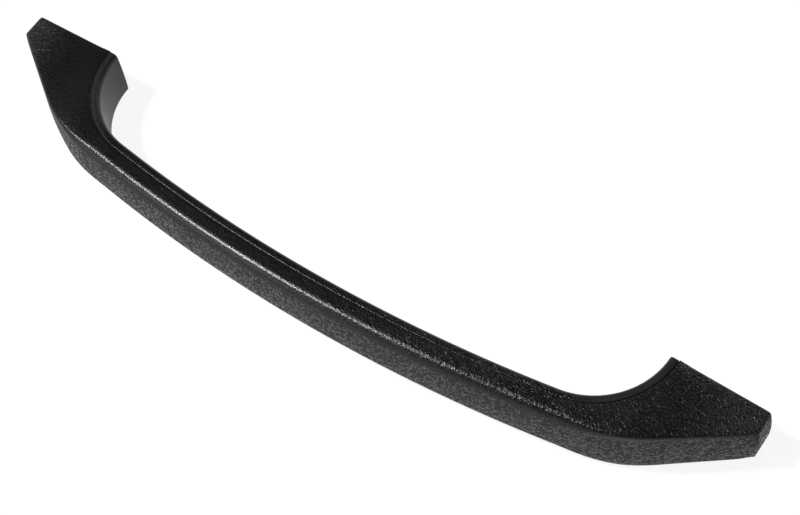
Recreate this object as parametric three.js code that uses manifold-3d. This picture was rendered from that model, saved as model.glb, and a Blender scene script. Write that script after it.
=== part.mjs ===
// Interior door pull handle for a car: an outer cover and an inner liner clipped round a
// steel core strip, with a moulded insert, a block and a sleeved screw bore in each foot.
// Millimetres, +Z up.  X runs along the handle, +Y is the door side, the bow bulges
// towards -Y, and the handle rests on its underside at z = 0.

import * as THREE from 'three';
import { mergeVertices } from 'three/addons/utils/BufferGeometryUtils.js';
import Module from 'manifold-3d';

const wasm = await Module();
wasm.setup();

// ---- Overall size -------------------------------------------------------------------
const HALF_LENGTH = 137;      // middle to the end wall of a foot
const WIDTH = 20;             // bar, side to side (Z)
const TIP_WIDTH = 16.4;       // foot at its end wall
const BOW_DEPTH = 42;         // door plane to the top of the bow
const END_WALL = 8.2;         // height of the small wall at each tip
const EDGE_RADIUS = 3;        // long edges of the moulding

// ---- Side profile -------------------------------------------------------------------
const OUTER_RADIUS = 565;     // bow, outer face
const SHOULDER_RADIUS = 56;   // bow into the sloping back of a foot
const FOOT_SLOPE = 35.7;      // degrees, back of a foot against the door plane
const GRIP_DEPTH = 31.6;      // door plane to the grip face in the middle
const GRIP_RADIUS = 555;      // grip face
const FILLET_RADIUS = 25.6;   // grip face into the inner wall of a foot
const FOOT_INNER = 102.8;     // middle to the inner wall of a foot
const TAPER_START = 104;      // where the sides begin to draw in towards the tip

// ---- Walls and gaps -----------------------------------------------------------------
const GAP = 0.3;              // between pieces that touch
const LINER = 3;              // liner thickness
const WALL = 2;               // cover wall behind the bow
const THIN_WALL = 0.8;        // cover wall between liner and foot pocket
const SLOT_WIDTH = 15.4;      // hollow of the bar
const POCKET_WIDTH = 12.8;    // hollow of a foot
const POCKET_END = 134.2;     // middle to the far wall of a foot pocket
const SLOT_HALF = 94;         // middle to the end of the wide slot in the bar
const MOUTH_BEVEL = 0.7;      // lead-in round a pocket's mouth

// ---- Core strip ---------------------------------------------------------------------
const STRIP = 2.2;            // thickness
const STRIP_WIDTH = 12;
const STRIP_REACH = 127;      // middle to the end of the strip

// ---- Foot insert, block and bore ----------------------------------------------------
const FLOOR = 5;              // door plane to the floor of the deep pocket
const INSERT_CLEAR = 0.5;     // insert to pocket wall
const INSERT_WALL = 1.1;      // upright wall of the insert beside the liner
const INSERT_RECESS = 1.2;    // door plane to the top of that wall
const BLOCK_START = 119.4;    // middle to the near side of the block
const BLOCK_END = 132.8;
const BLOCK_WIDTH = 11.4;
const BLOCK_RECESS = 0.7;     // door plane to the block's face
const PILOT_X = 127.2;
const PILOT_RADIUS = 1.55;
const BORE_MOUTH = [115.6, -FLOOR, -1.6];   // centre of the bore in the pocket's floor
const BORE_EXIT = [118.3, -13.2, -10];      // centre of the bore on the underside
const BORE_RADIUS = 3.6;
const SLEEVE_WALL = 0.9;

// ---- Fasteners ----------------------------------------------------------------------
const PIN_PLACES = [-85.7, -54.7, 54.7, 85.7];
const PIN_RADIUS = 0.8;
const PIN_LENGTH = 5.6;
const PIN_RECESS = 0.8;       // head below the grip face
const RIVET_PLACES = [113.5, 122.5];
const RIVET_SHANK = 1.25;
const RIVET_HEAD = 2.3;
const RIVET_HEAD_HEIGHT = 0.9;
const RIVET_REACH = 2.6;      // shank inside the insert

const PAST = 4;               // how far a cutter runs past the surface it cuts
const DEG = Math.PI / 180;
const STEPS = 12;             // straight pieces to an arc

// ---- Materials ----------------------------------------------------------------------
const finish = (color, roughness, metalness) =>
  new THREE.MeshStandardMaterial({ color, roughness, metalness });
const GRAINED = finish(0x1b1c1f, 0.5, 0);
const SMOOTH = finish(0x222326, 0.45, 0);
const INSERT = finish(0x2c2d2f, 0.6, 0);
const STEEL = finish(0x9a9c9e, 0.35, 1);

// ---- Solids -------------------------------------------------------------------------
function solid(geometry) {
  const bare = geometry.clone();
  bare.deleteAttribute('normal');
  bare.deleteAttribute('uv');
  const merged = mergeVertices(bare, 1e-4);
  return new wasm.Manifold(new wasm.Mesh({
    numProp: 3,
    vertProperties: new Float32Array(merged.attributes.position.array),
    triVerts: new Uint32Array(merged.index.array),
  }));
}

function geometryOf(body) {
  const mesh = body.getMesh();
  const geometry = new THREE.BufferGeometry();
  geometry.setAttribute('position', new THREE.BufferAttribute(mesh.vertProperties, 3));
  geometry.setIndex(new THREE.BufferAttribute(mesh.triVerts, 1));
  return geometry;
}

// A side-view outline given a width across Z, centred on the handle's middle plane.
function slab(outline, width) {
  const options = { depth: width, bevelEnabled: false, curveSegments: STEPS };
  const geometry = new THREE.ExtrudeGeometry(outline, options);
  return solid(geometry.translate(0, 0, -width / 2));
}

// A block between two corners.
function block(low, high) {
  const size = high.map((value, i) => value - low[i]);
  const geometry = new THREE.BoxGeometry(...size);
  return solid(geometry.translate(...low.map((value, i) => value + size[i] / 2)));
}

// A round bar from one point to another, with a different radius at each end if wanted.
function rod(from, to, radius, endRadius = radius, sides = 24) {
  const start = new THREE.Vector3(...from);
  const along = new THREE.Vector3(...to).sub(start);
  const geometry = new THREE.CylinderGeometry(endRadius, radius, along.length(), sides);
  geometry.translate(0, along.length() / 2, 0);
  const turn = new THREE.Quaternion();
  turn.setFromUnitVectors(new THREE.Vector3(0, 1, 0), along.clone().normalize());
  geometry.applyQuaternion(turn);
  return solid(geometry.translate(start.x, start.y, start.z));
}

// ---- Side profile: circles and the points where they meet -------------------------------
const slope = FOOT_SLOPE * DEG;
const bowCentre = new THREE.Vector2(0, OUTER_RADIUS - BOW_DEPTH);
const gripCentre = new THREE.Vector2(0, GRIP_RADIUS - GRIP_DEPTH);

// The shoulder's circle touches the bow from inside and the sloping back of the foot.
function shoulderCentre() {
  const along = new THREE.Vector2(Math.cos(slope), Math.sin(slope));
  const inward = new THREE.Vector2(-Math.sin(slope), Math.cos(slope));
  const start = new THREE.Vector2(HALF_LENGTH, -END_WALL).addScaledVector(inward, SHOULDER_RADIUS);
  const offset = start.clone().sub(bowCentre);
  const half = offset.dot(along);
  const reach = OUTER_RADIUS - SHOULDER_RADIUS;
  const distance = -half - Math.sqrt(half ** 2 - offset.lengthSq() + reach ** 2);
  return start.addScaledVector(along, distance);
}
const shoulder = shoulderCentre();
const slopeAngle = slope - Math.PI / 2;
const shoulderAngle = Math.atan2(shoulder.y - bowCentre.y, shoulder.x);

// The fillet's circle touches the grip face from inside and the inner wall of the foot.
const filletX = FOOT_INNER - FILLET_RADIUS;
const filletY = gripCentre.y - Math.sqrt((GRIP_RADIUS - FILLET_RADIUS) ** 2 - filletX ** 2);
const fillet = new THREE.Vector2(filletX, filletY);
const filletAngle = Math.atan2(fillet.y - gripCentre.y, fillet.x);

// The same direction on the left half of the handle.
function mirrored(angle) {
  return -Math.PI - angle;
}

// Height of a foot's back at x, moved inwards by the given depth: shoulder, then slope.
function backOfFoot(x, depth) {
  const radius = SHOULDER_RADIUS - depth;
  if (x < shoulder.x + radius * Math.sin(slope)) {
    return shoulder.y - Math.sqrt(radius ** 2 - (x - shoulder.x) ** 2);
  }
  return -END_WALL - (HALF_LENGTH - x) * Math.tan(slope) + depth / Math.cos(slope);
}

// Back of the handle from the left end to the right end, moved inwards by the given depth.
function traceBack(path, end, depth) {
  path.lineTo(-end, backOfFoot(end, depth));
  const radius = SHOULDER_RADIUS - depth;
  path.absarc(-shoulder.x, shoulder.y, radius, mirrored(slopeAngle), mirrored(shoulderAngle));
  path.absarc(0, bowCentre.y, OUTER_RADIUS - depth, mirrored(shoulderAngle), shoulderAngle);
  path.absarc(shoulder.x, shoulder.y, radius, shoulderAngle, slopeAngle);
  path.lineTo(end, backOfFoot(end, depth));
}

// Grip side from the right foot to the left foot, moved into the body by the given depth.
function traceGrip(path, top, depth) {
  const radius = FILLET_RADIUS + depth;
  path.lineTo(FOOT_INNER + depth, top);
  path.absarc(fillet.x, fillet.y, radius, 0, filletAngle, true);
  path.absarc(0, gripCentre.y, GRIP_RADIUS + depth, filletAngle, mirrored(filletAngle), true);
  path.absarc(-fillet.x, fillet.y, radius, mirrored(filletAngle), mirrored(0), true);
  path.lineTo(-FOOT_INNER - depth, top);
}

// Everything between the back and the grip side, each moved inwards by its own depth.
function sideOutline(end, top, backDepth, gripDepth) {
  const outline = new THREE.Shape();
  outline.moveTo(-end, top);
  traceBack(outline, end, backDepth);
  outline.lineTo(end, top);
  traceGrip(outline, top, gripDepth);
  return outline;
}

// ---- Whole moulding ---------------------------------------------------------------------
// The sides of a foot draw in evenly from the bar's width to the tip's.
function narrow(foot) {
  const geometry = geometryOf(foot);
  const points = geometry.attributes.position;
  const perMillimetre = (1 - TIP_WIDTH / WIDTH) / (HALF_LENGTH - TAPER_START);
  for (let i = 0; i < points.count; i += 1) {
    const past = Math.abs(points.getX(i)) - TAPER_START;
    points.setZ(i, points.getZ(i) * (1 - past * perMillimetre));
  }
  return solid(geometry);
}

function wholeHandle() {
  const outline = sideOutline(HALF_LENGTH, PAST, 0, 0);
  const geometry = new THREE.ExtrudeGeometry(outline, {
    depth: WIDTH - 2 * EDGE_RADIUS,
    bevelThickness: EDGE_RADIUS,
    bevelSize: EDGE_RADIUS,
    bevelOffset: -EDGE_RADIUS,
    bevelSegments: 3,
    curveSegments: STEPS,
  });
  geometry.translate(0, 0, -WIDTH / 2 + EDGE_RADIUS);
  const moulding = solid(geometry);
  const end = HALF_LENGTH + PAST;
  let whole = moulding.intersect(block([-TAPER_START, -end, -WIDTH], [TAPER_START, 0, WIDTH]));
  for (const [from, to] of [[-end, -TAPER_START], [TAPER_START, end]]) {
    whole = whole.add(narrow(moulding.intersect(block([from, -end, -WIDTH], [to, 0, WIDTH]))));
  }
  return whole;
}

// The band along the grip side that belongs to the liner.
function gripBand(depth, top) {
  const outline = new THREE.Shape();
  outline.moveTo(-FOOT_INNER - depth, top);
  outline.absarc(-fillet.x, fillet.y, FILLET_RADIUS + depth, mirrored(0), mirrored(filletAngle));
  outline.absarc(0, gripCentre.y, GRIP_RADIUS + depth, mirrored(filletAngle), filletAngle);
  outline.absarc(fillet.x, fillet.y, FILLET_RADIUS + depth, filletAngle, 0);
  outline.lineTo(FOOT_INNER + depth, top);
  return outline;
}

// ---- Bore: the same slanted axis for the cover's hole, the insert and the sleeve ----------
function bore(side, radius) {
  const mouth = new THREE.Vector3(...BORE_MOUTH);
  const exit = new THREE.Vector3(...BORE_EXIT);
  const run = exit.clone().sub(mouth).normalize();
  const from = mouth.addScaledVector(run, -PAST * 2);
  const to = exit.addScaledVector(run, PAST * 2);
  return rod([side * from.x, from.y, from.z], [side * to.x, to.y, to.z], radius);
}

// ---- Cover --------------------------------------------------------------------------------
function pocketMouth(side) {
  const start = FOOT_INNER + LINER + GAP + THIN_WALL;
  const half = POCKET_WIDTH / 2;
  const outline = new THREE.Shape();
  outline.moveTo(-half, -MOUTH_BEVEL);
  outline.lineTo(half, -MOUTH_BEVEL);
  outline.lineTo(half + MOUTH_BEVEL * 2, MOUTH_BEVEL);
  outline.lineTo(-half - MOUTH_BEVEL * 2, MOUTH_BEVEL);
  const length = BLOCK_START - start;
  const geometry = new THREE.ExtrudeGeometry(outline, { depth: length, bevelEnabled: false });
  geometry.rotateY(Math.PI / 2);
  return solid(geometry.translate(side > 0 ? start : -start - length, 0, 0));
}

function makeCover(whole) {
  const band = slab(gripBand(LINER + GAP, PAST), WIDTH + PAST);
  const hollow = slab(sideOutline(POCKET_END, PAST, WALL, LINER + GAP + THIN_WALL), POCKET_WIDTH);
  const slotBox = block([-SLOT_HALF, -BOW_DEPTH, -WIDTH], [SLOT_HALF, 0, WIDTH]);
  const slot = slab(sideOutline(POCKET_END, PAST, WALL, 0), SLOT_WIDTH).intersect(slotBox);
  let cover = whole.subtract(band).subtract(hollow).subtract(slot);
  for (const side of [-1, 1]) {
    cover = cover.subtract(bore(side, BORE_RADIUS + GAP)).subtract(pocketMouth(side));
  }
  return cover;
}

// ---- Liner --------------------------------------------------------------------------------
// A pin stands square to the grip face at its place along the bar.
function pinAxis(place) {
  const onFillet = Math.abs(place) > GRIP_RADIUS * Math.cos(filletAngle);
  const radius = onFillet ? FILLET_RADIUS : GRIP_RADIUS;
  const centre = onFillet ? new THREE.Vector2(Math.sign(place) * fillet.x, fillet.y) : gripCentre;
  const face = centre.y - Math.sqrt(radius ** 2 - (place - centre.x) ** 2);
  const outward = new THREE.Vector2(place - centre.x, face - centre.y).normalize();
  return (depth) => [place + outward.x * depth, face + outward.y * depth, 0];
}

function pinRod(place, radius, from, to) {
  const at = pinAxis(place);
  return rod(at(from), at(to), radius, radius, 16);
}

function makeLiner(whole) {
  const band = slab(gripBand(LINER, PAST), WIDTH + PAST);
  const aboveRim = block([-HALF_LENGTH, -GAP, -WIDTH], [HALF_LENGTH, PAST, WIDTH]);
  let liner = whole.intersect(band).subtract(aboveRim);
  for (const place of PIN_PLACES) {
    liner = liner.subtract(pinRod(place, PIN_RADIUS + GAP, -PAST, LINER + 1));
  }
  return liner;
}

// ---- Core strip and its fasteners -----------------------------------------------------------
const STRIP_BACK = WALL + GAP;
const STRIP_FACE = STRIP_BACK + STRIP;

// A rivet stands square to the sloping back of a foot; depths are measured from the back.
function rivetRod(place, radius, from, to, endRadius = radius) {
  const inward = [-Math.sign(place) * Math.sin(slope), Math.cos(slope)];
  const back = backOfFoot(Math.abs(place), 0);
  const at = (depth) => [place + inward[0] * depth, back + inward[1] * depth, 0];
  return rod(at(from), at(to), radius, endRadius, 16);
}

// A countersunk rivet, flush with the back of the strip, or the hole it needs.
function rivet(place, clearance) {
  const flare = (RIVET_HEAD - RIVET_SHANK) / RIVET_HEAD_HEIGHT;
  const wide = RIVET_HEAD + clearance * (1 + flare);
  const slim = RIVET_SHANK + clearance;
  const head = rivetRod(place, wide, STRIP_BACK - clearance, STRIP_BACK + RIVET_HEAD_HEIGHT, slim);
  const end = STRIP_FACE + RIVET_REACH + clearance;
  return head.add(rivetRod(place, slim, STRIP_BACK, end));
}

function makeStrip() {
  const outline = new THREE.Shape();
  outline.moveTo(-STRIP_REACH, backOfFoot(STRIP_REACH, STRIP_FACE));
  traceBack(outline, STRIP_REACH, STRIP_BACK);
  outline.lineTo(STRIP_REACH, backOfFoot(STRIP_REACH, STRIP_FACE));
  const inner = SHOULDER_RADIUS - STRIP_FACE;
  outline.absarc(shoulder.x, shoulder.y, inner, slopeAngle, shoulderAngle, true);
  const bow = OUTER_RADIUS - STRIP_FACE;
  outline.absarc(0, bowCentre.y, bow, shoulderAngle, mirrored(shoulderAngle), true);
  outline.absarc(-shoulder.x, shoulder.y, inner, mirrored(shoulderAngle), mirrored(slopeAngle), true);
  let strip = slab(outline, STRIP_WIDTH);
  for (const place of PIN_PLACES) {
    strip = strip.subtract(pinRod(place, PIN_RADIUS + GAP, -PAST, BOW_DEPTH / 2));
  }
  for (const place of RIVET_PLACES.flatMap((x) => [-x, x])) {
    strip = strip.subtract(rivet(place, GAP));
  }
  return strip;
}

function makePin(place) {
  return pinRod(place, PIN_RADIUS, PIN_RECESS, PIN_RECESS + PIN_LENGTH);
}

// ---- Foot insert, block and sleeve ------------------------------------------------------------
const INSERT_START = FOOT_INNER + LINER + GAP + THIN_WALL + INSERT_CLEAR;
const INSERT_END = POCKET_END - INSERT_CLEAR;
const INSERT_WIDTH = POCKET_WIDTH - 2 * INSERT_CLEAR;

function insertBody(side) {
  const seat = STRIP_FACE + GAP;
  const stripEnd = STRIP_REACH + GAP;
  const outline = new THREE.Shape();
  outline.moveTo(INSERT_START, -INSERT_RECESS);
  outline.lineTo(INSERT_START, backOfFoot(INSERT_START, seat));
  outline.lineTo(stripEnd, backOfFoot(stripEnd, seat));
  outline.lineTo(stripEnd, backOfFoot(stripEnd, STRIP_BACK));
  outline.lineTo(INSERT_END, backOfFoot(INSERT_END, STRIP_BACK));
  outline.lineTo(INSERT_END, -FLOOR);
  outline.lineTo(INSERT_START + INSERT_WALL, -FLOOR);
  outline.lineTo(INSERT_START + INSERT_WALL, -INSERT_RECESS);
  const body = slab(outline, INSERT_WIDTH);
  return side > 0 ? body : body.mirror([1, 0, 0]);
}

function makeInsert(side) {
  let insert = insertBody(side).subtract(bore(side, BORE_RADIUS + SLEEVE_WALL + GAP));
  for (const x of RIVET_PLACES) {
    insert = insert.subtract(rivet(side * x, GAP));
  }
  return insert;
}

function makeSleeve(side) {
  const tube = bore(side, BORE_RADIUS + SLEEVE_WALL).subtract(bore(side, BORE_RADIUS));
  return tube.intersect(insertBody(side));
}

function makeBlock(side) {
  const half = BLOCK_WIDTH / 2;
  const near = side * BLOCK_START;
  const far = side * BLOCK_END;
  const low = [Math.min(near, far), -FLOOR + GAP, -half];
  const high = [Math.max(near, far), -BLOCK_RECESS, half];
  const pilot = rod([side * PILOT_X, -FLOOR - PAST, 0], [side * PILOT_X, PAST, 0], PILOT_RADIUS);
  return block(low, high).subtract(pilot);
}

// ---- Assembly ---------------------------------------------------------------------------------
const handle = new THREE.Group();
handle.position.set(0, BOW_DEPTH / 2, WIDTH / 2);

function add(name, body, material) {
  const mesh = new THREE.Mesh(geometryOf(body), material);
  mesh.name = name;
  handle.add(mesh);
}

const whole = wholeHandle();
add('outer_cover', makeCover(whole), GRAINED);
add('inner_liner', makeLiner(whole), SMOOTH);
add('core_strip', makeStrip(), STEEL);
PIN_PLACES.forEach((place, i) => add(`liner_pin_${i + 1}`, makePin(place), STEEL));
for (const [name, side] of [['left', -1], ['right', 1]]) {
  add(`foot_insert_${name}`, makeInsert(side), INSERT);
  add(`foot_block_${name}`, makeBlock(side), INSERT);
  add(`bore_sleeve_${name}`, makeSleeve(side), STEEL);
  RIVET_PLACES.forEach((x, i) => add(`core_rivet_${name}_${i + 1}`, rivet(side * x, 0), STEEL));
}

export default handle;
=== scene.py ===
"""A car door pull handle: an outer cover and an inner liner in grained black plastic, clipped
round a steel core strip, with a moulded insert, a block and a sleeved screw bore in each foot.

Shapes are worked out in millimetres in the handle's own plan: X along the handle, Y from the
bow (negative) to the door plane (0), and the height across the handle measured from its middle.
place() turns such a point into the frame's metres."""

import math

import bmesh
import bpy
from mathutils import Matrix, Vector


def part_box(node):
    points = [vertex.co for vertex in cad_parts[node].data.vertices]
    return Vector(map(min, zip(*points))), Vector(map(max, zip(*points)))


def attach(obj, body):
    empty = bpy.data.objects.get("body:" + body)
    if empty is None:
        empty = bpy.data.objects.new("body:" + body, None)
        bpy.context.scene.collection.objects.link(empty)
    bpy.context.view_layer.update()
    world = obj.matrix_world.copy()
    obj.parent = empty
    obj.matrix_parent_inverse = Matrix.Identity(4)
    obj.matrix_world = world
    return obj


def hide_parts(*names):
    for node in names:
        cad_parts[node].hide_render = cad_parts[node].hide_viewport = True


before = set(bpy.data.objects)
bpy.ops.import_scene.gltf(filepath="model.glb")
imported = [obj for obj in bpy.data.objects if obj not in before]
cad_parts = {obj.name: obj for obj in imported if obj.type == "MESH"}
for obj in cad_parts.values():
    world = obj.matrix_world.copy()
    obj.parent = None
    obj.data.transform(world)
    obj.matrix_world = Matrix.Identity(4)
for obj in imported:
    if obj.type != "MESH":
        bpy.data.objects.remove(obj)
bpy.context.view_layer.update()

# ---- Driving dimensions, from the frame ---------------------------------------------------
MM = 0.001
LOW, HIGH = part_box("outer_cover")
HALF_LENGTH = HIGH.x / MM
BOW_DEPTH = (HIGH.y - LOW.y) / MM
HALF_WIDTH = (HIGH.z - LOW.z) / MM / 2
DOOR_Y = HIGH.y / MM              # door plane in the frame
MIDDLE_Z = HALF_WIDTH + LOW.z / MM

# ---- Side profile -------------------------------------------------------------------------
BOW_RADIUS = 565.0                # outer face
SHOULDER_RADIUS = 56.0            # bow into the sloping back of a foot
SLOPE = math.radians(35.7)        # back of a foot against the door plane
END_WALL = 8.2                    # height of the small wall at each tip
GRIP_DEPTH = 31.6                 # door plane to the grip face in the middle
GRIP_RADIUS = 555.0
FILLET_RADIUS = 25.6              # grip face into the inner wall of a foot
GAP = 0.3                         # between cover and liner
LINER = 3.0                       # liner thickness
FOOT_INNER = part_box("inner_liner")[1].x / MM - LINER    # middle to the inner wall of a foot
TIP_NARROWING = 0.18              # share of the width that is lost from foot to tip
TAPER_START = 104.0               # where the sides begin to draw in

# ---- Edges and crowns ---------------------------------------------------------------------
BAR_EDGE = 3.3                    # long outer edges along the bar
FOOT_EDGE = 1.3                   # the same edges on a foot, and the corners of the tip
GRIP_EDGE = 1.7                   # long edges of the grip side
SEAM_EDGE = 0.25                  # the cover's lip at the parting line
LINER_EDGE = 0.2                  # the liner's lip there
SEAM_WIDTH = 0.12                 # gap that is left to see between the lips
RIM_EDGE = 0.7                    # edge of the face that meets the door
FACE_CROWN = 0.3                  # how far the outer face bulges across its width
GRIP_CROWN = 0.25
TIP_BULGE = 1.2                   # how far the end wall bulges across its width
TIP_BULGE_LENGTH = 5.0            # how much of the tip that bulge takes
CORNER = 0.8                      # rounding between the sloping back and the end wall
EDGE_CHANGE = (84.0, 108.0)       # where the bar's soft edge turns into the foot's crisp one
RIM_CHANGE = 6.0                  # length over which the seam's lip widens into the rim's edge

# ---- Hollows, insert, block, bore and pins ---------------------------------------------------
WALL = 2.0                        # cover wall behind the bow
THIN_WALL = 0.8                   # cover wall between liner and foot pocket
SLOT_HALF_WIDTH = 7.7             # hollow of the bar
SLOT_END = 94.0                   # middle to the end of that hollow
POCKET_HALF_WIDTH = 6.4
POCKET_START = FOOT_INNER + LINER + GAP + THIN_WALL
POCKET_END = 134.2
MOUTH_BEVEL = 0.7                 # lead-in round the mouth of a pocket
STRIP_FACE = 4.5                  # outer face to the strip's inner face
STRIP_END = 127.0
FLOOR = 5.0                       # door plane to the floor of the deep pocket
CLEAR = 0.5                       # insert to the pocket's walls
INSERT_WALL = 1.1                 # upright wall of the insert beside the liner
INSERT_RECESS = 1.2
BLOCK_START, BLOCK_END = 119.4, 132.8
BLOCK_HALF_WIDTH = 5.7
BLOCK_RECESS = 0.7
PILOT_X = 127.2
PILOT_RADIUS = 1.55
BORE_MOUTH = Vector((115.6, -FLOOR, -1.6))
BORE_EXIT = Vector((118.3, -13.2, -10.0))
BORE_RADIUS = 3.6
SLEEVE_WALL = 0.9
PIN_PLACES = (54.7, 85.7)
PIN_RADIUS = 0.8
PAST = 4.0                        # how far a cutter runs past what it cuts
DRILL_PAST = 1.0                  # the same for the pins' drill behind the liner
INSERT_SOFTENING = 0.15           # rounding of the inner pieces' crisp edges
BLOCK_SOFTENING = 0.25
SLEEVE_SOFTENING = 0.12
STEEL_SOFTENING = 0.1
INSERT_START = POCKET_START + CLEAR
INSERT_END = POCKET_END - CLEAR

# ---- Looks ------------------------------------------------------------------------------------
FACE_GRAIN = 0.32                 # depth of the grain on the long faces, in millimetres
BAR_SIDE_GRAIN = 0.045            # the same on the sides of the bar and the left foot
FOOT_SIDE_GRAIN = 0.1             # the same on the sides of the right foot
GRAIN_CHANGE = (-0.03, 0.08)      # where along the handle, in metres, the sides' grain deepens
GRAIN_FADE = (0.084, 0.094)       # how far from the middle, in metres, the liner's grain runs out
PEBBLE = 0.0011                   # sizes of the grain's three layers, in metres
CREASE = 0.00085
FINE_GRAIN = 0.0006
BLACK = (0.0022, 0.002, 0.0032)
GRIMY_BLACK = (0.004, 0.0038, 0.005)
# colour of the pebble tops on the long faces, lighter than the creases: painted shade in the grain's
# creases
PAINTED_LIGHT_TOP = (0.014, 0.014, 0.0138)
DEBRIS = (0.5, 0.52, 0.52)
WALLS = 0.9                       # brightness of the studio near the horizon
CEILING = 0.02                    # the same overhead
WALL_TO_CEILING = (0.15, 0.6)     # heights, on a sphere of radius 1, between which it dims
FLOOR_REACH = 4                   # middle of the floor to its edges, in metres
FLOOR_DROP = 0.0003               # keeps the floor just under the handle's side
LIGHTS = [                        # name, place, what it points at, size in metres, watts
    ("key", (-0.72, -0.35, 1.4), (0, 0, 0), 0.16, 28),
    ("back", (-0.09, 1.05, 0.91), (0.05, 0, 0), 0.3, 2.2),
    ("front", (-0.65, -0.9, 0.6), (0, 0, 0), 0.5, 2.5),
]
CAMERA_PLACE = (0.2178, -0.2139, 0.5315)
CAMERA_TURN = (29.87, 4.59, 34.26)    # degrees about X, Y and Z
CAMERA_LENS = 88.54               # millimetres, on the sensor below
SENSOR_WIDTH = 36


def radial(angle, radius, centre_y):
    """Point on a circle round (0, centre_y), the angle measured from the handle's middle."""
    return Vector((radius * math.sin(angle), centre_y - radius * math.cos(angle)))


BOW_Y = BOW_RADIUS - BOW_DEPTH    # centre of the bow
GRIP_Y = GRIP_RADIUS - GRIP_DEPTH
UP_SLOPE = Vector((math.cos(SLOPE), math.sin(SLOPE)))
INTO_SLOPE = Vector((-math.sin(SLOPE), math.cos(SLOPE)))


def shoulder_centre():
    """Centre of the circle that touches the bow from inside and the sloping back."""
    start = Vector((HALF_LENGTH, -END_WALL)) + INTO_SLOPE * SHOULDER_RADIUS
    offset = start - Vector((0, BOW_Y))
    half = offset.dot(UP_SLOPE)
    reach = BOW_RADIUS - SHOULDER_RADIUS
    return start + UP_SLOPE * (-half - math.sqrt(half**2 - offset.length_squared + reach**2))


SHOULDER = shoulder_centre()
SHOULDER_ANGLE = math.atan2(SHOULDER.x, BOW_Y - SHOULDER.y)
FILLET_X = FOOT_INNER - FILLET_RADIUS
FILLET = Vector((FILLET_X, GRIP_Y - math.sqrt((GRIP_RADIUS - FILLET_RADIUS) ** 2 - FILLET_X**2)))
FILLET_ANGLE = math.atan2(FILLET.x, GRIP_Y - FILLET.y)


def back(x):
    """Point on the outer profile at x, and the direction into the body there."""
    if x < BOW_RADIUS * math.sin(SHOULDER_ANGLE):
        centre, radius = Vector((0, BOW_Y)), BOW_RADIUS
    elif x < SHOULDER.x + SHOULDER_RADIUS * math.sin(SLOPE):
        centre, radius = SHOULDER, SHOULDER_RADIUS
    else:
        return Vector((x, -END_WALL - (HALF_LENGTH - x) * math.tan(SLOPE))), INTO_SLOPE.copy()
    point = Vector((x, centre.y - math.sqrt(radius**2 - (x - centre.x) ** 2)))
    return point, (centre - point).normalized()


def smooth_step(x, start, end):
    t = min(1.0, max(0.0, (x - start) / (end - start)))
    return t * t * (3 - 2 * t)


def spread(start, end, count):
    """count + 1 evenly spaced values from start to end."""
    return [start + (end - start) * i / count for i in range(count + 1)]


# ---- Sections -------------------------------------------------------------------------------
# A moulding is a run of sections across it. Each section goes from the lip on the upper side,
# over the rounded edge, down the long face and back to the lip on the lower side.
LIP_STEPS = 3
FLAT_STEPS = 5
ARC_STEPS = 8
FACE_STEPS = 8


def lip_arc(edge):
    """How far in from the lip and how far below the side each point of its rounding lies."""
    return [(edge * (1 - math.cos(a)), edge * (1 - math.sin(a)))
            for a in spread(0, math.pi / 2, LIP_STEPS)[:-1]]


def section(lip, lip_in, lip_edge, start, face, into, crown, edge, top):
    """Half a section's points as (plan point, height) from the lip to the middle of the face.

    lip is the sharp edge's plan point and lip_in the direction into the body beside it. start is
    where the side's flat part ends, face where the long face is, and top the side's height."""
    face_edge = face + into * crown
    points = [(lip + lip_in * inward, top - drop) for inward, drop in lip_arc(lip_edge)]
    flat_from = lip + lip_in * lip_edge
    for t in spread(0, 1, FLAT_STEPS):
        points.append((flat_from.lerp(start, t), top))
    for angle in spread(0, math.pi / 2, ARC_STEPS)[1:]:
        plan = start.lerp(face_edge, math.sin(angle))
        points.append((plan, top - edge + edge * math.cos(angle)))
    face_top = top - edge
    for t in spread(1, 0, FACE_STEPS // 2)[1:]:
        points.append((face + into * crown * t * t, face_top * t))
    return points


def whole_section(half):
    """The upper half's points, and the same points below the middle in reverse."""
    return half + [(plan, -height) for plan, height in reversed(half[:-1])]


def place(plan, height, side):
    """A point of the right half, or its mirror image, in the frame's metres. The sides of a foot
    draw in towards its tip, and the end wall bulges a little."""
    past = max(0.0, plan.x - TAPER_START) / (HALF_LENGTH - TAPER_START)
    z = height * (1 - TIP_NARROWING * past)
    at_tip = smooth_step(plan.x, HALF_LENGTH - TIP_BULGE_LENGTH, HALF_LENGTH)
    x = plan.x - TIP_BULGE * at_tip * (z / HALF_WIDTH) ** 2
    return Vector((side * x, DOOR_Y + plan.y, MIDDLE_Z + z)) * MM


def loft(name, sections):
    """A closed body through sections given from the middle to the right end, with its mirror
    image on the left."""
    bm = bmesh.new()
    rows = [[bm.verts.new(place(*p, -1)) for p in s] for s in reversed(sections[1:])]
    rows += [[bm.verts.new(place(*p, 1)) for p in s] for s in sections]
    for low, high in zip(rows, rows[1:]):
        for i in range(len(low)):
            j = (i + 1) % len(low)
            bm.faces.new((low[i], low[j], high[j], high[i]))
    bm.faces.new(rows[0])
    bm.faces.new(reversed(rows[-1]))
    bmesh.ops.remove_doubles(bm, verts=bm.verts, dist=1e-7)
    bmesh.ops.dissolve_degenerate(bm, edges=bm.edges, dist=1e-7)
    bmesh.ops.recalc_face_normals(bm, faces=bm.faces)
    return to_object(name, bm)


def to_object(name, bm):
    """The finished mesh as an object in the scene."""
    mesh = bpy.data.meshes.new(name)
    bm.to_mesh(mesh)
    bm.free()
    obj = bpy.data.objects.new(name, mesh)
    bpy.context.scene.collection.objects.link(obj)
    return obj


# ---- Outer cover ----------------------------------------------------------------------------
BAR_STATIONS = 56
FILLET_STATIONS = 28
FOOT_STATIONS = 18
SLOPE_END_STATIONS = 3            # from the rim's end to the corner of the tip
CORNER_STATIONS = 5
END_WALL_STATIONS = 6
SEAM = LINER + GAP


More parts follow.
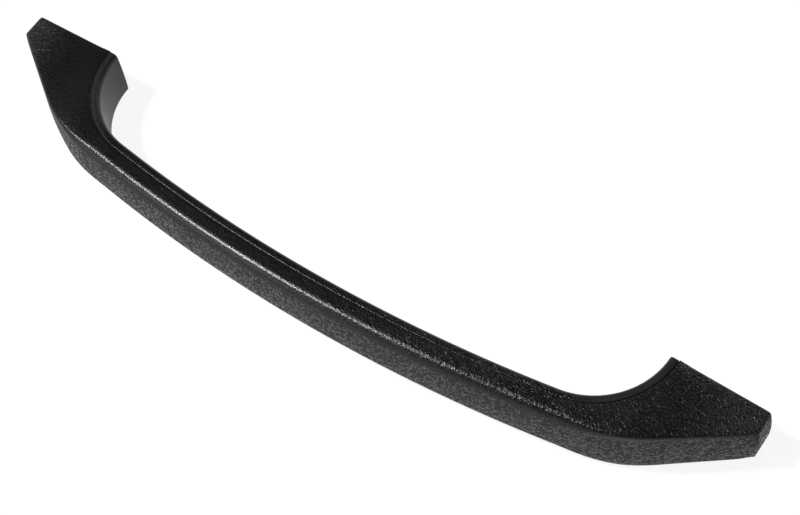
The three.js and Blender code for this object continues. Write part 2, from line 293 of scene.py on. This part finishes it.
def seam_angle_steps():
    """Angles round the fillet's centre from the grip face's end to the inner wall."""
    return spread(FILLET_ANGLE, math.pi / 2, FILLET_STATIONS)


def round_point(centre, radius, angle):
    """Point on a circle round centre, with the angle measured from straight out of the bow."""
    return centre + Vector((math.sin(angle), -math.cos(angle))) * radius


def outer_edge(x):
    """Rounding of the long outer edge, softer along the bar than on the feet."""
    return BAR_EDGE + (FOOT_EDGE - BAR_EDGE) * smooth_step(x, *EDGE_CHANGE)


def cover_sections():
    """Along the bar, round the fillet beside the liner, along a foot and round its tip."""
    made = []
    down = Vector((0, -1))

    def add(outer_x, lip, lip_in, lip_edge):
        face, into = back(outer_x)
        edge = outer_edge(outer_x)
        start = face + into * edge
        made.append(whole_section(
            section(lip, lip_in, lip_edge, start, face, into, FACE_CROWN, edge, HALF_WIDTH)))

    for angle in spread(0, FILLET_ANGLE, BAR_STATIONS):
        lip = radial(angle, GRIP_RADIUS + SEAM, GRIP_Y)
        add(BOW_RADIUS * math.sin(angle), lip, Vector((math.sin(angle), -math.cos(angle))), SEAM_EDGE)
    seam_end = FOOT_INNER + SEAM
    from_x = BOW_RADIUS * math.sin(FILLET_ANGLE)
    steps = seam_angle_steps()
    for i, angle in enumerate(steps[1:-1], 1):
        lip = round_point(FILLET, FILLET_RADIUS + SEAM, angle)
        outer_x = from_x + (seam_end - from_x) * i / FILLET_STATIONS
        add(outer_x, lip, Vector((math.sin(angle), -math.cos(angle))), SEAM_EDGE)
    add(seam_end, Vector((seam_end, 0)), Vector((1, -1)), SEAM_EDGE)
    rim_end = HALF_LENGTH - FOOT_EDGE * 3
    for x in spread(seam_end, rim_end, FOOT_STATIONS)[1:]:
        widening = smooth_step(x, seam_end, seam_end + RIM_CHANGE)
        add(x, Vector((x, 0)), down, SEAM_EDGE + (RIM_EDGE - SEAM_EDGE) * widening)
    made += tip_sections(Vector((rim_end, 0)), rim_end)
    return made


def tip_sections(lip, from_x):
    """From the last part of the sloping back, round the corner and up the end wall."""
    made = []
    down = Vector((0, -1))
    wall_start = HALF_LENGTH - FOOT_EDGE
    slope_in = back(HALF_LENGTH)[0] + INTO_SLOPE * FOOT_EDGE
    mitre = slope_in + UP_SLOPE * ((wall_start - slope_in.x) / UP_SLOPE.x)
    turn = (math.pi / 2 - SLOPE) / 2
    reach = CORNER * math.tan(turn)
    corner = Vector((HALF_LENGTH, -END_WALL))
    round_centre = corner - UP_SLOPE * reach + INTO_SLOPE * CORNER

    def add(face, into, start, crown):
        made.append(whole_section(
            section(lip, down, RIM_EDGE, start, face, into, crown, FOOT_EDGE, HALF_WIDTH)))

    last = corner - UP_SLOPE * reach
    for x in spread(from_x, last.x, SLOPE_END_STATIONS)[1:-1]:
        face, into = back(x)
        start = face + into * FOOT_EDGE
        add(face, into, mitre if start.x > mitre.x else start, FACE_CROWN)
    for t in spread(0, 1, CORNER_STATIONS):
        angle = SLOPE + (math.pi / 2 - SLOPE) * t
        face = round_point(round_centre, CORNER, angle)
        into = Vector((-math.sin(angle), math.cos(angle)))
        add(face, into, mitre, FACE_CROWN * (1 - t))
    into = Vector((-1, 0))
    for y in spread(-END_WALL + reach, -RIM_EDGE, END_WALL_STATIONS)[1:]:
        add(Vector((HALF_LENGTH, y)), into, Vector((wall_start, max(y, mitre.y))), 0)
    rim_arc = lip_arc(RIM_EDGE)
    for inset, depth in rim_arc[1:] + [(RIM_EDGE, 0)]:
        face = Vector((HALF_LENGTH - inset, -depth))
        start = Vector((wall_start, -depth))
        half = [(lip + down * min(depth, inward), HALF_WIDTH - max(inset, drop))
                for inward, drop in rim_arc]
        half += section(lip, down, RIM_EDGE, start, face, into, 0, FOOT_EDGE - inset,
                        HALF_WIDTH - inset)[LIP_STEPS:]
        for i, t in enumerate(spread(0, 1, FLAT_STEPS), LIP_STEPS):
            half[i] = (Vector((lip.x, -depth)).lerp(start, t), HALF_WIDTH - inset)
        made.append(whole_section(half))
    return made


# ---- Inner liner ------------------------------------------------------------------------------
def liner_sections():
    """The strip from the middle of the grip and down the inner wall of a foot."""
    made = []

    def add(face, outward):
        lip = face + outward * (SEAM - SEAM_WIDTH)
        start = face + outward * GRIP_EDGE
        half = section(lip, -outward, LINER_EDGE, start, face, outward, GRIP_CROWN, GRIP_EDGE,
                       HALF_WIDTH)
        made.append(whole_section(half))

    for angle in spread(0, FILLET_ANGLE, BAR_STATIONS):
        outward = Vector((math.sin(angle), -math.cos(angle)))
        add(radial(angle, GRIP_RADIUS, GRIP_Y), outward)
    for angle in seam_angle_steps()[1:-1]:
        outward = Vector((math.sin(angle), -math.cos(angle)))
        add(round_point(FILLET, FILLET_RADIUS, angle), outward)
    add(Vector((FOOT_INNER, -GAP)), Vector((1, 0)))
    return made


# ---- Solids for hollows and inner pieces --------------------------------------------------------
SLOT_POINTS = 90                  # how finely each outline follows the curve of the back
POCKET_POINTS = 140
INSERT_POINTS = 30
INSERT_TIP_POINTS = 4
GRIP_FILLET_POINTS = 20           # and the curve of the grip side
GRIP_BAR_POINTS = 40
ROD_SIDES = 64
DRILL_SIDES = 32
PILOT_SIDES = 40


def straight(plan, height):
    """A point in the frame's metres, without the foot's narrowing."""
    return Vector((plan[0], DOOR_Y + plan[1], MIDDLE_Z + height)) * MM


def prism(name, outline, half_width):
    """A plan outline given a thickness across the handle."""
    bm = bmesh.new()
    lower = [bm.verts.new(straight(p, -half_width)) for p in outline]
    upper = [bm.verts.new(straight(p, half_width)) for p in outline]
    for i in range(len(outline)):
        j = (i + 1) % len(outline)
        bm.faces.new((lower[i], lower[j], upper[j], upper[i]))
    bm.faces.new(lower)
    bm.faces.new(upper)
    bmesh.ops.recalc_face_normals(bm, faces=bm.faces)
    return to_object(name, bm)


def rod(name, start, end, radius, sides=ROD_SIDES):
    """A round bar between two points, each in plan X, plan Y and height."""
    from_point = straight(start.xy, start.z)
    to_point = straight(end.xy, end.z)
    along = to_point - from_point
    bm = bmesh.new()
    bmesh.ops.create_cone(bm, cap_ends=True, segments=sides, radius1=radius * MM,
                          radius2=radius * MM, depth=along.length)
    spin = along.to_track_quat("Z", "Y").to_matrix().to_4x4()
    middle = Matrix.Translation((from_point + to_point) / 2)
    bmesh.ops.transform(bm, matrix=middle @ spin, verts=bm.verts)
    return to_object(name, bm)


def boolean(body, other, operation):
    """Cuts the other solid out of the body, or keeps what they share, and removes the other.
    Faces made by the cut take the other solid's material."""
    change = body.modifiers.new("boolean", "BOOLEAN")
    change.operation = operation
    change.material_mode = "TRANSFER"
    change.solver = "EXACT"
    change.object = other
    bpy.context.view_layer.update()
    evaluated = body.evaluated_get(bpy.context.evaluated_depsgraph_get())
    mesh = bpy.data.meshes.new_from_object(evaluated)
    body.modifiers.clear()
    old = body.data
    body.data = mesh
    bpy.data.meshes.remove(old)
    bpy.data.objects.remove(other)


def cut(body, other, material=None):
    if material:
        other.data.materials.append(material)
    boolean(body, other, "DIFFERENCE")


def mirror_outline(outline, side):
    return [(side * x, y) for x, y in outline]


def back_offset(x, depth):
    """Height of the back at x after moving it inwards by depth, in the plan."""
    radius = SHOULDER_RADIUS - depth
    if x < (BOW_RADIUS - depth) * math.sin(SHOULDER_ANGLE):
        return BOW_Y - math.sqrt((BOW_RADIUS - depth) ** 2 - x**2)
    if x < SHOULDER.x + radius * math.sin(SLOPE):
        return SHOULDER.y - math.sqrt(radius**2 - (x - SHOULDER.x) ** 2)
    return -END_WALL - (HALF_LENGTH - x) * math.tan(SLOPE) + depth / math.cos(SLOPE)


def back_line(start, end, depth, count):
    return [(x, back_offset(abs(x), depth)) for x in spread(start, end, count)]


def grip_line(depth, end_x):
    """Grip side from the right to the left, moved into the body, as far as end_x at each end."""
    right_half = []
    for angle in reversed(spread(FILLET_ANGLE, math.pi / 2, GRIP_FILLET_POINTS)):
        right_half.append(tuple(round_point(FILLET, FILLET_RADIUS + depth, angle)))
    for angle in reversed(spread(0, FILLET_ANGLE, GRIP_BAR_POINTS)[:-1]):
        right_half.append(tuple(radial(angle, GRIP_RADIUS + depth, GRIP_Y)))
    right_half = [p for p in right_half if p[0] <= end_x]
    return right_half + [(-x, y) for x, y in reversed(right_half[:-1])]


def bore(side, radius, past=PAST * 2):
    """The slanted axis of a foot's screw bore, as a round bar of that radius."""
    run = (BORE_EXIT - BORE_MOUTH).normalized()
    start = BORE_MOUTH - run * past
    end = BORE_EXIT + run * past
    for point in (start, end):
        point.x *= side
    return rod("bore", start, end, radius)


def hollow_cover(cover, inside):
    """The bar's slot, the foot pockets that it runs into, their lead-ins and the bore holes."""
    slot_outline = back_line(-SLOT_END, SLOT_END, WALL, SLOT_POINTS) + grip_line(0, SLOT_END)
    cut(cover, prism("slot", slot_outline, SLOT_HALF_WIDTH), inside)
    grip_depth = SEAM + THIN_WALL
    outline = back_line(-POCKET_END, POCKET_END, WALL, POCKET_POINTS)
    outline += [(POCKET_END, PAST), (POCKET_START, PAST)]
    outline += grip_line(grip_depth, POCKET_START)
    outline += [(-POCKET_START, PAST), (-POCKET_END, PAST)]
    cut(cover, prism("pocket", outline, POCKET_HALF_WIDTH), inside)
    for side in (-1, 1):
        cut(cover, pocket_mouth(side), inside)
        cut(cover, bore(side, BORE_RADIUS + GAP), inside)


def pocket_mouth(side):
    """The lead-in over the deep part of a pocket, wider at the door plane than below."""
    bm = bmesh.new()
    rings = []
    wide = POCKET_HALF_WIDTH + 2 * MOUTH_BEVEL
    for y, half in ((-MOUTH_BEVEL, POCKET_HALF_WIDTH), (MOUTH_BEVEL, wide)):
        for x in (POCKET_START, BLOCK_START):
            rings.append([bm.verts.new(straight((side * x, y), z)) for z in (-half, half)])
    low_near, low_far, high_near, high_far = rings
    bm.faces.new((low_near[0], low_far[0], low_far[1], low_near[1]))
    bm.faces.new((high_near[0], high_near[1], high_far[1], high_far[0]))
    for k in (0, 1):
        bm.faces.new((low_near[k], low_far[k], high_far[k], high_near[k]))
    bm.faces.new((low_near[0], low_near[1], high_near[1], high_near[0]))
    bm.faces.new((low_far[0], low_far[1], high_far[1], high_far[0]))
    bmesh.ops.recalc_face_normals(bm, faces=bm.faces)
    return to_object("mouth", bm)


def pin_points(pin_x, from_depth, to_depth):
    """Two points on a pin's axis, square to the grip side, at depths below its face."""
    x = abs(pin_x)
    on_fillet = x > GRIP_RADIUS * math.sin(FILLET_ANGLE)
    centre = FILLET if on_fillet else Vector((0, GRIP_Y))
    radius = FILLET_RADIUS if on_fillet else GRIP_RADIUS
    angle = math.asin((x - centre.x) / radius)
    points = []
    for depth in (from_depth, to_depth):
        plan = round_point(centre, radius + depth, angle)
        points.append(Vector((math.copysign(plan.x, pin_x), plan.y, 0)))
    return points


def paint_rim(cover, material):
    """The face that meets the door has no grain."""
    names = [slot.name for slot in cover.data.materials]
    for face in cover.data.polygons:
        faces_door = face.normal.y > 0.95
        at_rim = face.center.y > (DOOR_Y - RIM_EDGE) * MM
        if faces_door and at_rim:
            face.material_index = names.index(material.name)


def drill_liner(liner, inside):
    """The small holes in the grip face that the pins sit in."""
    for pin_x in PIN_PLACES:
        for side in (-1, 1):
            start, end = pin_points(side * pin_x, -PAST, LINER + DRILL_PAST)
            cut(liner, rod("drill", start, end, PIN_RADIUS + GAP, DRILL_SIDES), inside)


def soften(obj, width):
    """Rounds an inner piece's crisp edges with a modifier."""
    change = obj.modifiers.new("soft_edges", "BEVEL")
    change.width = width * MM
    change.segments = 2
    change.limit_method = "ANGLE"
    change.angle_limit = math.radians(40)


def insert_outline(side):
    seat = STRIP_FACE + GAP
    strip_end = STRIP_END + GAP
    outline = [(INSERT_START, -INSERT_RECESS)]
    outline += back_line(INSERT_START, strip_end, seat, INSERT_POINTS)
    outline += back_line(strip_end, INSERT_END, WALL + GAP, INSERT_TIP_POINTS)
    outline += [(INSERT_END, -FLOOR), (INSERT_START + INSERT_WALL, -FLOOR)]
    outline += [(INSERT_START + INSERT_WALL, -INSERT_RECESS)]
    return mirror_outline(outline, side)


def foot_insert(name, side):
    insert = prism("insert_" + name, insert_outline(side), POCKET_HALF_WIDTH - CLEAR)
    cut(insert, bore(side, BORE_RADIUS + SLEEVE_WALL + GAP))
    return insert


def bore_sleeve(name, side):
    sleeve = bore(side, BORE_RADIUS + SLEEVE_WALL)
    sleeve.name = "sleeve_" + name
    cut(sleeve, bore(side, BORE_RADIUS, PAST * 3))
    boolean(sleeve, prism("trim", insert_outline(side), POCKET_HALF_WIDTH - CLEAR), "INTERSECT")
    return sleeve


def foot_block(name, side):
    outline = [(BLOCK_START, -FLOOR + GAP), (BLOCK_END, -FLOOR + GAP),
               (BLOCK_END, -BLOCK_RECESS), (BLOCK_START, -BLOCK_RECESS)]
    block = prism("block_" + name, mirror_outline(outline, side), BLOCK_HALF_WIDTH)
    pilot = rod("pilot", Vector((side * PILOT_X, -FLOOR - PAST, 0)),
                Vector((side * PILOT_X, PAST, 0)), PILOT_RADIUS, PILOT_SIDES)
    cut(block, pilot)
    return block


def shade(obj):
    """Smooth shading, apart from real corners."""
    for face in obj.data.polygons:
        face.use_smooth = True
    obj.data.set_sharp_from_angle(angle=math.radians(32))


def coat(obj, material):
    """One material over the whole of a piece."""
    obj.data.materials.clear()
    obj.data.materials.append(material)


def finished(obj, node):
    """Shades a piece, fixes it to the body and lets it stand for its CAD node."""
    shade(obj)
    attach(obj, "root")
    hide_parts(node)


# ---- Materials ---------------------------------------------------------------------------------
# Textures use the frame's own coordinates, so a texture's scale is one over its size in metres.
def map_range(tree, low, high, low_out, high_out):
    """A node that turns the range from low to high smoothly into another range."""
    node = tree.nodes.new("ShaderNodeMapRange")
    node.interpolation_type = "SMOOTHSTEP"
    node.inputs["From Min"].default_value = low
    node.inputs["From Max"].default_value = high
    node.inputs["To Min"].default_value = low_out
    node.inputs["To Max"].default_value = high_out
    return node


class Nodes:
    """A material's node tree, with a short way to add and join its nodes."""

    def __init__(self, name):
        self.material = bpy.data.materials.new(name)
        self.material.use_nodes = True
        self.tree = self.material.node_tree
        self.shader = self.tree.nodes["Principled BSDF"]
        self.place = self.tree.nodes.new("ShaderNodeTexCoord").outputs["Object"]

    def join(self, value, socket):
        if isinstance(value, bpy.types.NodeSocket):
            self.tree.links.new(value, socket)
        else:
            socket.default_value = value

    def math(self, operation, *values):
        node = self.tree.nodes.new("ShaderNodeMath")
        node.operation = operation
        for value, socket in zip(values, node.inputs):
            self.join(value, socket)
        return node.outputs[0]

    def noise(self, size, detail=3.0, roughness=0.5, where=None):
        """Soft random values about 0.5 with features of that size in metres."""
        node = self.tree.nodes.new("ShaderNodeTexNoise")
        self.join(where or self.place, node.inputs["Vector"])
        node.inputs["Scale"].default_value = 1 / size
        node.inputs["Detail"].default_value = detail
        node.inputs["Roughness"].default_value = roughness
        return node.outputs["Fac"]

    def stretched(self, scale):
        """Coordinates stretched along the axes, for a grain that runs one way."""
        node = self.tree.nodes.new("ShaderNodeMapping")
        node.inputs["Scale"].default_value = scale
        self.tree.links.new(self.place, node.inputs["Vector"])
        return node.outputs["Vector"]

    def warped(self, size, amount):
        """Coordinates pushed about at random, so that cells lose their straight sides."""
        noise = self.tree.nodes.new("ShaderNodeTexNoise")
        self.tree.links.new(self.place, noise.inputs["Vector"])
        noise.inputs["Scale"].default_value = 1 / size
        noise.inputs["Detail"].default_value = 1.0
        pushed = self.tree.nodes.new("ShaderNodeVectorMath")
        pushed.operation = "MULTIPLY_ADD"
        self.tree.links.new(noise.outputs["Color"], pushed.inputs[0])
        pushed.inputs[1].default_value = (amount,) * 3
        self.tree.links.new(self.place, pushed.inputs[2])
        return pushed.outputs[0]

    def cells(self, size, feature, where):
        """Distance within cells of that size: to their centre, or to their edge."""
        node = self.tree.nodes.new("ShaderNodeTexVoronoi")
        node.feature = feature
        self.tree.links.new(where, node.inputs["Vector"])
        node.inputs["Scale"].default_value = 1 / size
        return node.outputs["Distance"]

    def ramp(self, value, low, high, low_out=0.0, high_out=1.0):
        """value's range from low to high turned smoothly into another range."""
        node = map_range(self.tree, low, high, low_out, high_out)
        self.join(value, node.inputs["Value"])
        return node.outputs[0]

    def axis(self, name):
        node = self.tree.nodes.new("ShaderNodeSeparateXYZ")
        self.tree.links.new(self.place, node.inputs[0])
        return node.outputs[name]

    def blend(self, amount, first, second):
        """From one colour to another, where each is three numbers or another node's output."""
        node = self.tree.nodes.new("ShaderNodeMix")
        node.data_type = "RGBA"
        self.join(amount, node.inputs["Factor"])
        for name, colour in (("A", first), ("B", second)):
            self.join((*colour, 1) if isinstance(colour, tuple) else colour, node.inputs[name])
        return node.outputs["Result"]

    def bump(self, height, depth):
        """Relief of that depth in metres from a height between 0 and 1."""
        node = self.tree.nodes.new("ShaderNodeBump")
        node.inputs["Strength"].default_value = 1.0
        node.inputs["Distance"].default_value = depth
        self.join(height, node.inputs["Height"])
        self.tree.links.new(node.outputs["Normal"], self.shader.inputs["Normal"])

    def surface(self, colour, roughness, metallic=0.0):
        self.join(colour, self.shader.inputs["Base Color"])
        self.join(roughness, self.shader.inputs["Roughness"])
        self.shader.inputs["Metallic"].default_value = metallic
        return self.material


def leather_height(nodes):
    """Pebbles of a moulded leather grain, with finer creases between them."""
    pebbles = nodes.cells(PEBBLE, "F1", nodes.warped(0.0016, PEBBLE))
    creases = nodes.cells(CREASE, "DISTANCE_TO_EDGE", nodes.warped(0.0012, 0.0009))
    dome = nodes.ramp(pebbles, 0.0, 0.75, 1, 0)
    plate = nodes.ramp(creases, 0.0, 0.2)
    fine = nodes.noise(FINE_GRAIN, 1)
    height = nodes.math("MULTIPLY", dome, 0.5)
    height = nodes.math("MULTIPLY_ADD", plate, 0.3, height)
    return nodes.math("MULTIPLY_ADD", fine, 0.2, height)


def grained_plastic(name, fade=None):
    """Black plastic with a leather grain, deepest on the long faces, and shallower on the sides of
    the bar and the left foot than on the right foot's. Its creases are matte on the long faces, and
    coloured darker there than the pebble tops, as painted shade. fade is how far from the middle the
    grain runs out, if it does."""
    nodes = Nodes(name)
    height = leather_height(nodes)
    across = nodes.math("ABSOLUTE", nodes.math("SUBTRACT", nodes.axis("Z"), MIDDLE_Z * MM))
    on_face = nodes.ramp(across, (HALF_WIDTH - BAR_EDGE) * MM, (HALF_WIDTH - 0.5) * MM, 1, 0)
    side_depth = nodes.ramp(nodes.axis("X"), *GRAIN_CHANGE, BAR_SIDE_GRAIN, FOOT_SIDE_GRAIN)
    more = nodes.math("SUBTRACT", FACE_GRAIN, side_depth)
    depth = nodes.math("MULTIPLY_ADD", on_face, more, side_depth)
    patches = nodes.ramp(nodes.noise(0.02, 3), 0.3, 0.7, 0.24, 0.28)
    roughness = nodes.math("ADD", patches, nodes.ramp(height, 0.35, 0.85, 0.04, -0.04))
    if fade:
        away = nodes.math("ABSOLUTE", nodes.axis("X"))
        smooth = nodes.ramp(away, *fade)
        grained = nodes.math("SUBTRACT", 1.0, smooth)
        on_face = nodes.math("MULTIPLY", on_face, grained)
        depth = nodes.math("MULTIPLY", depth, grained)
        roughness = nodes.math("MULTIPLY_ADD", smooth, 0.15, roughness)
    nodes.bump(nodes.math("MULTIPLY", height, depth), MM)
    matte_creases = nodes.ramp(height, 0.34, 0.62, 0.45, 0)
    roughness = nodes.math("MULTIPLY_ADD", on_face, matte_creases, roughness)
    grime = nodes.ramp(nodes.noise(0.012, 5, 0.6), 0.35, 0.8)
    colour = nodes.blend(grime, BLACK, GRIMY_BLACK)
    # Pebble tops on the long faces get a lighter colour than the creases between them: painted shade
    # in the creases.
    painted_light_on_tops = nodes.math("MULTIPLY", on_face, nodes.ramp(height, 0.55, 0.72))
    colour = nodes.blend(painted_light_on_tops, colour, PAINTED_LIGHT_TOP)
    nodes.shader.inputs["Specular IOR Level"].default_value = 0.35
    return nodes.surface(colour, roughness)


def moulded_plastic(name, dark, light, debris=0.0):
    """Ungrained plastic with faint flow marks and, if wanted, light specks of swarf and scuffs."""
    nodes = Nodes(name)
    flow = nodes.noise(0.004, 4, 0.6)
    fine = nodes.noise(0.0004, 3)
    relief = nodes.math("ADD", nodes.math("MULTIPLY", flow, 0.6), nodes.math("MULTIPLY", fine, 0.4))
    nodes.bump(relief, 0.00004)
    colour = nodes.blend(nodes.ramp(flow, 0.3, 0.7), dark, light)
    roughness = nodes.ramp(nodes.noise(0.006, 3), 0.3, 0.7, 0.42, 0.58)
    if debris:
        where = nodes.ramp(nodes.noise(0.0035, 2), 0.52, 0.62)
        specks = nodes.ramp(nodes.noise(0.0006, 5, 0.75), 0.52, 0.62)
        amount = nodes.math("MULTIPLY", nodes.math("MULTIPLY", where, specks), debris)
        colour = nodes.blend(amount, colour, DEBRIS)
    return nodes.surface(colour, roughness)


def turned_steel(name, dark, light, low, high):
    """Steel with fine marks along the handle and duller patches."""
    nodes = Nodes(name)
    marks = nodes.noise(0.0004, 4, 0.6, nodes.stretched((0.2, 1, 1)))
    patches = nodes.noise(0.003, 4, 0.6)
    nodes.bump(marks, 0.00002)
    colour = nodes.blend(nodes.ramp(patches, 0.35, 0.7), dark, light)
    return nodes.surface(colour, nodes.ramp(patches, 0.3, 0.7, low, high), 1.0)


def light_table(name):
    """A floor that looks white because it glows, and so casts light up at the handle. Its own
    colour is dark, which keeps the handle's shadow faint."""
    nodes = Nodes(name)
    colour = nodes.blend(nodes.noise(0.3, 2), (0.09, 0.09, 0.09), (0.11, 0.11, 0.11))
    nodes.shader.inputs["Emission Color"].default_value = (1, 1, 1, 1)
    nodes.shader.inputs["Emission Strength"].default_value = 0.9
    return nodes.surface(colour, 0.9)


skin = grained_plastic("leather_grained_plastic")
fading_skin = grained_plastic("leather_grain_to_smooth", fade=GRAIN_FADE)
moulding = moulded_plastic("moulded_plastic", (0.034, 0.034, 0.034), (0.046, 0.046, 0.045))
dusty_moulding = moulded_plastic("dusty_moulded_plastic", (0.042, 0.042, 0.042), (0.058, 0.058, 0.056),
                                 debris=0.9)
steel = turned_steel("bright_steel", (0.5, 0.5, 0.5), (0.68, 0.68, 0.67), 0.25, 0.42)
dark_steel = turned_steel("blackened_steel", (0.03, 0.03, 0.032), (0.08, 0.075, 0.07), 0.4, 0.6)

cover = loft("cover_skin", cover_sections())
coat(cover, skin)
hollow_cover(cover, moulding)
paint_rim(cover, moulding)
finished(cover, "outer_cover")
liner = loft("liner_skin", liner_sections())
coat(liner, fading_skin)
drill_liner(liner, moulding)
finished(liner, "inner_liner")
for name, side in (("left", -1), ("right", 1)):
    insert = foot_insert(name, side)
    block = foot_block(name, side)
    sleeve = bore_sleeve(name, side)
    coat(insert, dusty_moulding)
    coat(block, dusty_moulding)
    coat(sleeve, steel)
    soften(insert, INSERT_SOFTENING)
    soften(block, BLOCK_SOFTENING)
    soften(sleeve, SLEEVE_SOFTENING)
    finished(insert, "foot_insert_" + name)
    finished(block, "foot_block_" + name)
    finished(sleeve, "bore_sleeve_" + name)

# The frame's pieces that stay keep their own meshes, with a material and a rounding modifier.
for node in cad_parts.values():
    if node.hide_render:
        continue
    for slot in node.material_slots:
        slot.material = dark_steel
    soften(node, STEEL_SOFTENING)


# ---- Stage and camera -------------------------------------------------------------------------
def studio_floor():
    corners = [(x * FLOOR_REACH, y * FLOOR_REACH, 0) for x, y in ((-1, -1), (1, -1), (1, 1), (-1, 1))]
    mesh = bpy.data.meshes.new("floor")
    mesh.from_pydata(corners, [], [(0, 1, 2, 3)])
    floor = bpy.data.objects.new("floor", mesh)
    floor.location.z = -FLOOR_DROP
    bpy.context.scene.collection.objects.link(floor)
    floor.data.materials.append(light_table("white_light_table"))


def studio_world():
    """Bright walls near the horizon under a dim ceiling."""
    world = bpy.data.worlds.new("studio")
    bpy.context.scene.world = world
    world.use_nodes = True
    tree = world.node_tree
    split = tree.nodes.new("ShaderNodeSeparateXYZ")
    tree.links.new(tree.nodes.new("ShaderNodeTexCoord").outputs["Generated"], split.inputs[0])
    fall = map_range(tree, *WALL_TO_CEILING, WALLS, CEILING)
    tree.links.new(split.outputs["Z"], fall.inputs["Value"])
    background = tree.nodes["Background"]
    background.inputs["Color"].default_value = (1, 1, 1, 1)
    tree.links.new(fall.outputs[0], background.inputs["Strength"])


def area_light(name, position, target, size, watts):
    data = bpy.data.lights.new(name, "AREA")
    data.energy = watts
    data.size = size
    lamp = bpy.data.objects.new(name, data)
    lamp.location = position
    lamp.rotation_euler = (Vector(target) - Vector(position)).to_track_quat("-Z", "Y").to_euler()
    bpy.context.scene.collection.objects.link(lamp)


def studio_camera():
    data = bpy.data.cameras.new("camera")
    data.lens = CAMERA_LENS
    data.sensor_width = SENSOR_WIDTH
    data.clip_start = 0.05
    data.clip_end = 20
    camera = bpy.data.objects.new("camera", data)
    camera.location = CAMERA_PLACE
    camera.rotation_euler = [math.radians(angle) for angle in CAMERA_TURN]
    bpy.context.scene.collection.objects.link(camera)
    bpy.context.scene.camera = camera


studio_floor()
studio_world()
for light in LIGHTS:
    area_light(*light)
studio_camera()
bpy.context.scene.view_settings.view_transform = "Standard"
